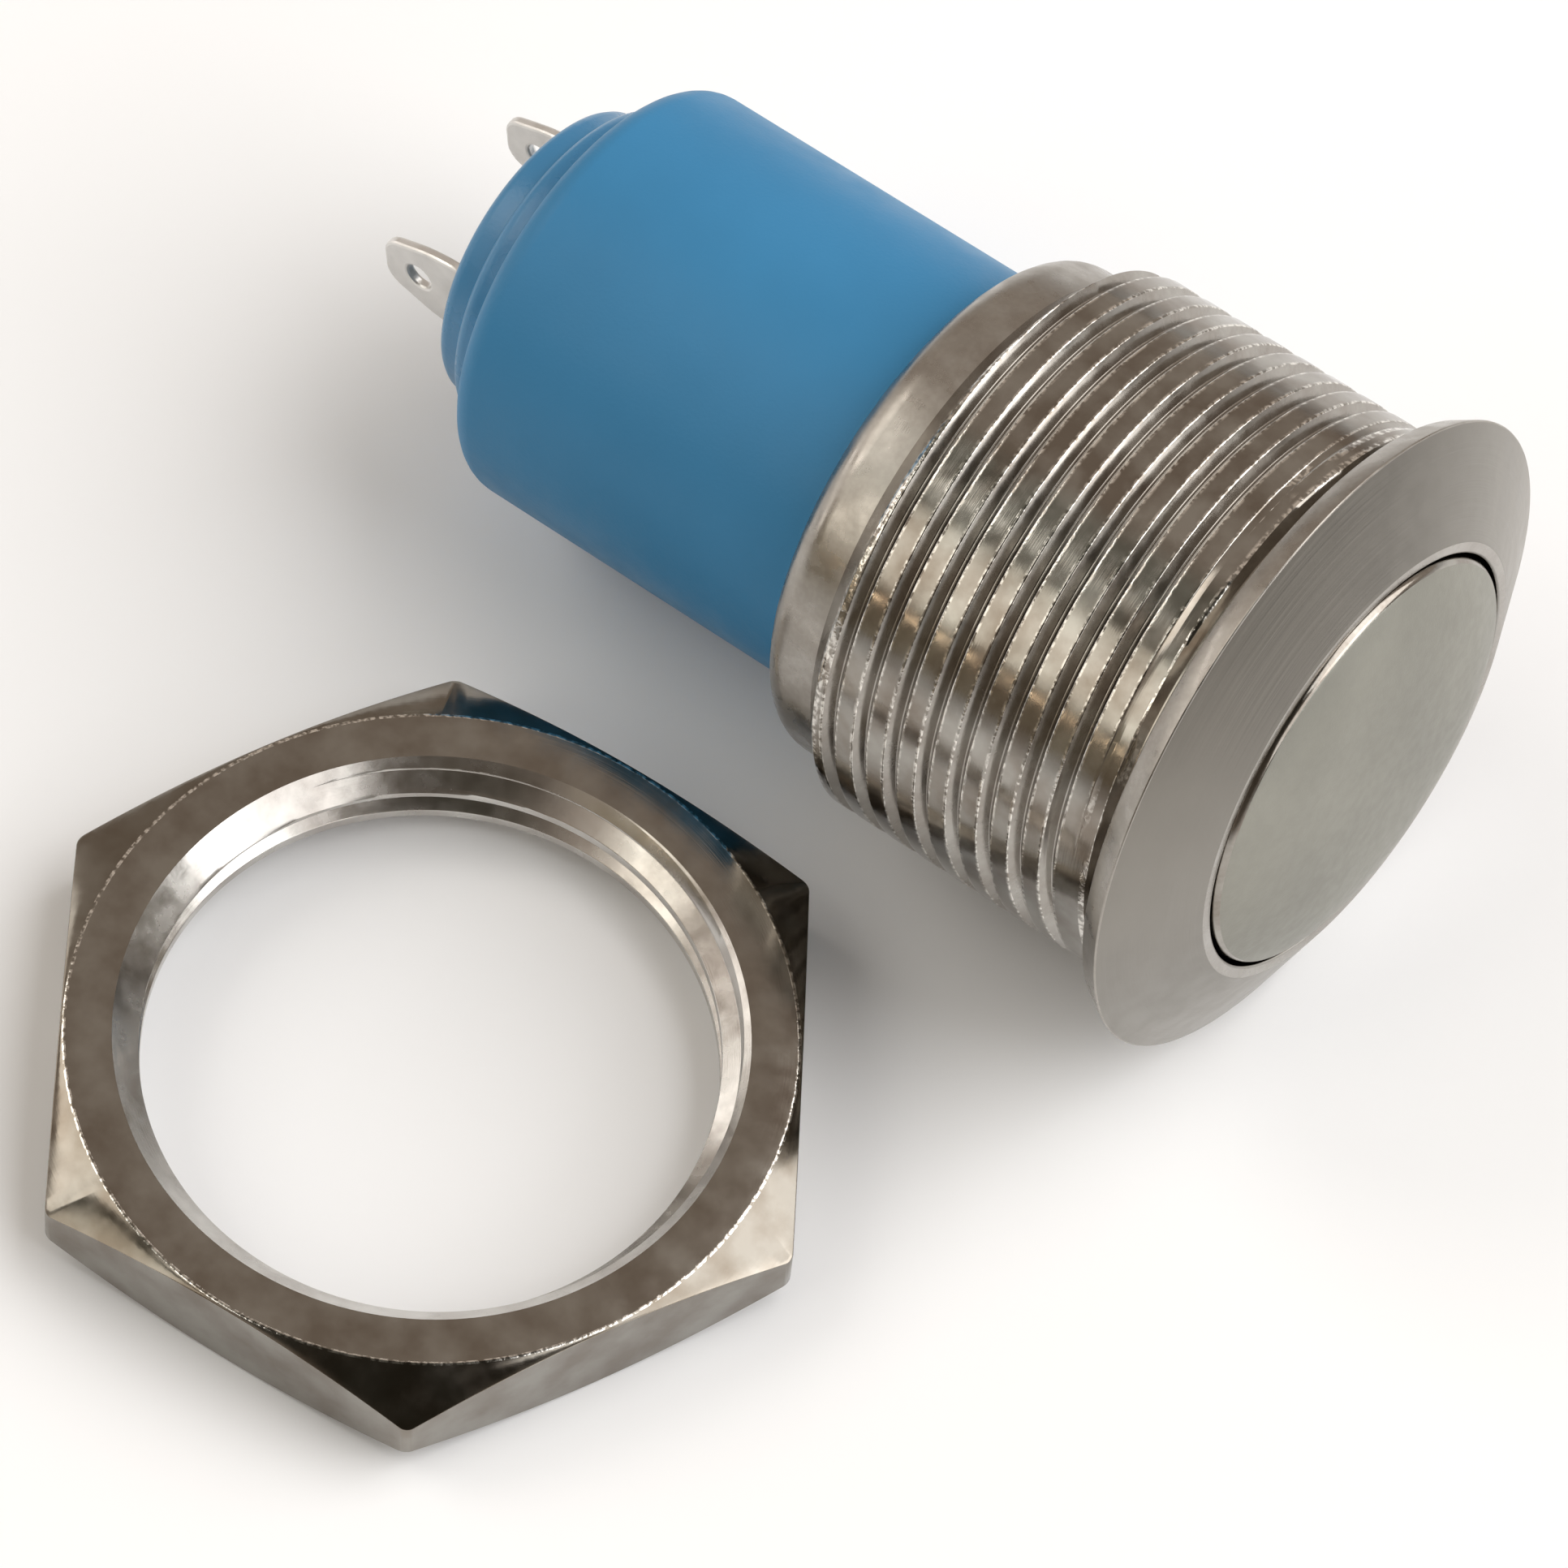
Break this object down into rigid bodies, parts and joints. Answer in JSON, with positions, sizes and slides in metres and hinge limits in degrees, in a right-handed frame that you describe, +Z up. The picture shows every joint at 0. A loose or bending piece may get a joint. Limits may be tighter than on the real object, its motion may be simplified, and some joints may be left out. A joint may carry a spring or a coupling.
{
  "type": "anti vandal push button",
  "caption": "Round metal push button with a shallow domed cap, threaded barrel, blue plastic rear housing, solder lugs and a loose hexagon panel nut.",
  "frame": {"origin": "centre of the flange's rear seat face, on the axis of the switch", "axes": "+X towards the button along the floor, +Z up; the switch lies on its side and its axis rises towards the button by the angle that the flange rim and the thread give it"},
  "size_m": [0.0309, 0.0377, 0.0183],
  "materials": {
    "plated_barrel": "polished nickel plate",
    "blasted_button": "fine matte, polished at the edge",
    "plated_nut": "polished nickel plate",
    "blue_plastic": "satin moulded",
    "tinned_lug": "tinned, dull bright",
    "natural_plastic": "satin moulded",
    "black_rubber": "matte",
    "spring_steel": "bright drawn wire and pressed sheet",
    "contact_silver": "bright",
    "contact_brass": "bright sheet",
    "sealing_resin": "cast resin"
  },
  "bodies": {
    "root": {"barrel_housing": "plated_barrel", "plunger_guide": "natural_plastic", "return_spring": "spring_steel", "rear_housing": "blue_plastic", "housing_gasket": "black_rubber", "terminal_base": "blue_plastic", "resin_seal": "sealing_resin", "terminal_lug_a": "tinned_lug", "terminal_lug_b": "tinned_lug", "fixed_contact_a": "contact_silver", "fixed_contact_b": "contact_silver", "panel_nut": "plated_nut"},
    "button": {"button_cap": "blasted_button", "button_seal": "black_rubber", "plunger": "natural_plastic", "retaining_clip": "spring_steel", "bridge_clip": "spring_steel", "bridge_spring": "spring_steel"},
    "bridge": {"contact_bridge": "contact_brass", "moving_contact_a": "contact_silver", "moving_contact_b": "contact_silver"}
  },
  "joints": [
    {"name": "button_press", "type": "slide", "parent": "root", "child": "button", "axis": [0.9929, 0, 0.1193], "range_m": [-0.0016, 0], "stiffness_N_per_m": 1500, "springref_m": 0.001, "deforming": ["return_spring", "bridge_spring"]},
    {"name": "bridge_follow", "type": "slide", "parent": "root", "child": "bridge", "axis": [0.9929, 0, 0.1193], "range_m": [-0.00108, 0], "deforming": ["bridge_spring"]}
  ],
  "couplings": [
    {"joint": "bridge_follow", "follows": "button_press", "ratio": 0.675}
  ]
}
